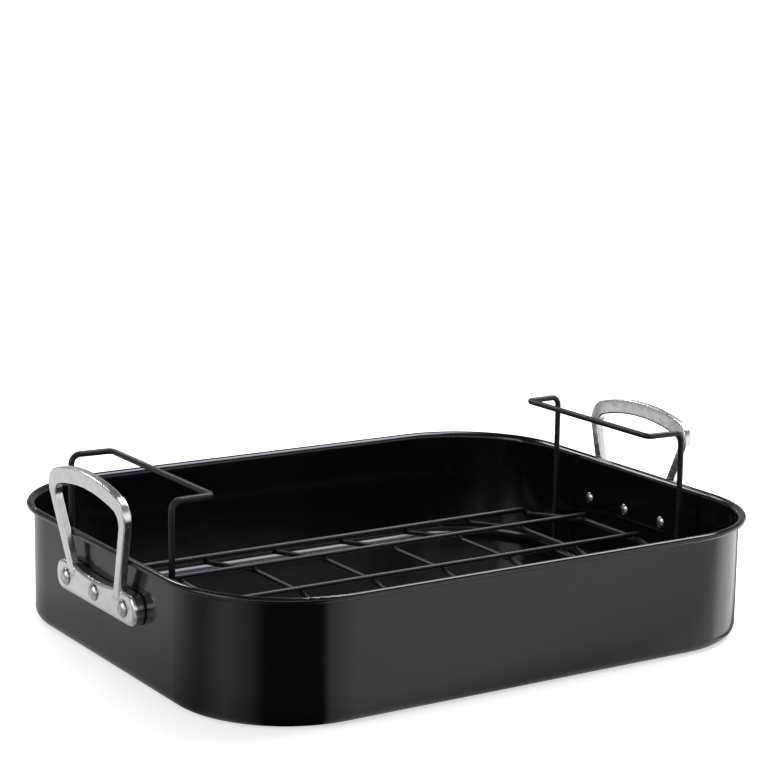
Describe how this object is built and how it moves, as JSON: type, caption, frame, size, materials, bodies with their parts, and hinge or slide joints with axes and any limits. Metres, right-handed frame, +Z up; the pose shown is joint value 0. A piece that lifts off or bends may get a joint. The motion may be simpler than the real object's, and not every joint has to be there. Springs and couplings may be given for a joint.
{
  "type": "roasting pan with rack",
  "caption": "Deep rectangular roasting pan with round corners, a rolled rim and riveted upright loop handles, holding a wire rack whose own wire handles lift it straight out.",
  "frame": {"origin": "middle of the pan's flat underside, on the surface it stands on", "axes": "+X along the pan to its right-hand handle, -Y to the front, +Z up"},
  "size_m": [0.44, 0.3454, 0.1267],
  "materials": {
    "pan_coating": "glossy black non-stick coating on pressed steel",
    "handle_casting": "bright satin cast aluminium",
    "rivet_metal": "aluminium rivets with dimpled heads",
    "rack_coating": "black non-stick coating on steel wire"
  },
  "bodies": {
    "pan": {"pan_shell": "pan_coating", "left_handle": "handle_casting", "right_handle": "handle_casting", "left_rivet_front": "rivet_metal", "left_rivet_middle": "rivet_metal", "left_rivet_rear": "rivet_metal", "right_rivet_front": "rivet_metal", "right_rivet_middle": "rivet_metal", "right_rivet_rear": "rivet_metal"},
    "rack": {"rack_frame_wire": "rack_coating", "rack_long_wire_front": "rack_coating", "rack_long_wire_rear": "rack_coating", "rack_cross_wire_1": "rack_coating", "rack_cross_wire_2": "rack_coating", "rack_cross_wire_3": "rack_coating", "rack_cross_wire_4": "rack_coating", "rack_cross_wire_5": "rack_coating", "rack_cross_wire_6": "rack_coating", "rack_left_handle": "rack_coating", "rack_right_handle": "rack_coating"}
  },
  "joints": [
    {"name": "rack_lift", "type": "slide", "parent": "pan", "child": "rack", "axis": [0, 0, 1], "range_m": [0, 0.14]}
  ]
}
